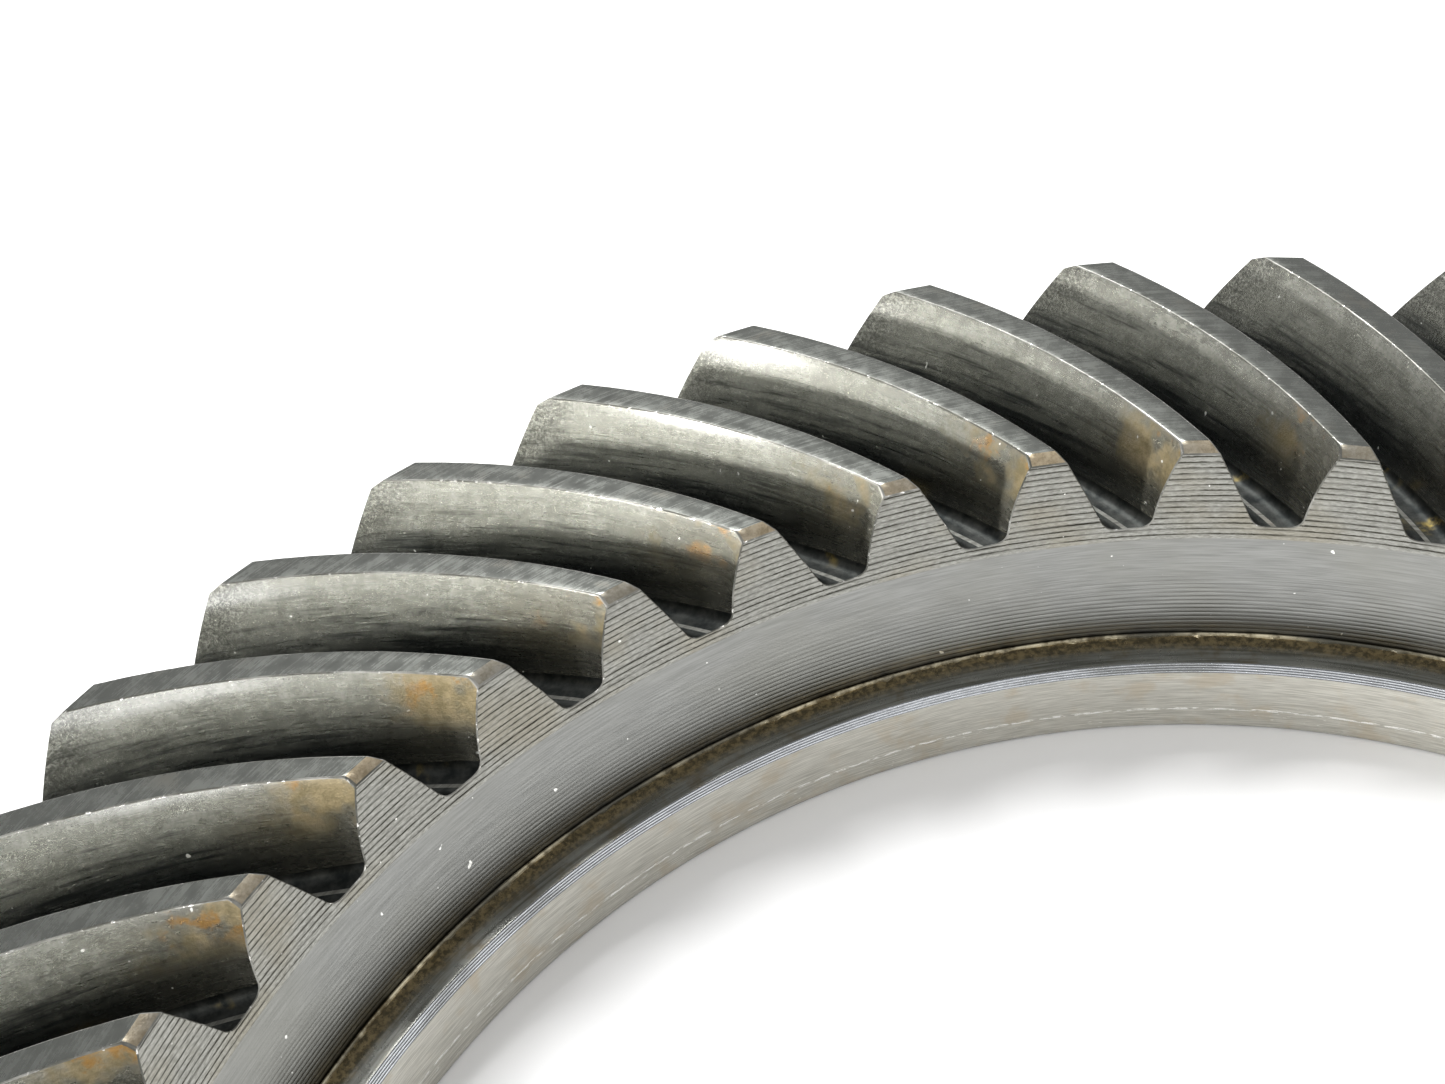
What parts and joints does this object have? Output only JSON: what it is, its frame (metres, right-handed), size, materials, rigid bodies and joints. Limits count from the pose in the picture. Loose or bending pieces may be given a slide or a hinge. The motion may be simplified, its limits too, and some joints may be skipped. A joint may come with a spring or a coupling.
{
  "type": "spiral bevel ring gear",
  "caption": "Flat steel crown gear with curved spiral teeth on its conical face, a stepped pilot bore and tapped holes in its flat back.",
  "frame": {"origin": "centre of the flat back face, on the gear axis", "axes": "+Z along the gear axis, from the back face towards the teeth; +X through the toe end of one tooth slot"},
  "size_m": [0.2512, 0.2512, 0.0323],
  "materials": {
    "turned_gear_steel": "turned and cut alloy steel, thin oil film, light rust near the toe ends",
    "ground_steel": "fine ground steel with an oil film"
  },
  "bodies": {
    "root": {"ring_gear": "turned_gear_steel", "pilot_ring": "ground_steel"}
  },
  "joints": []
}
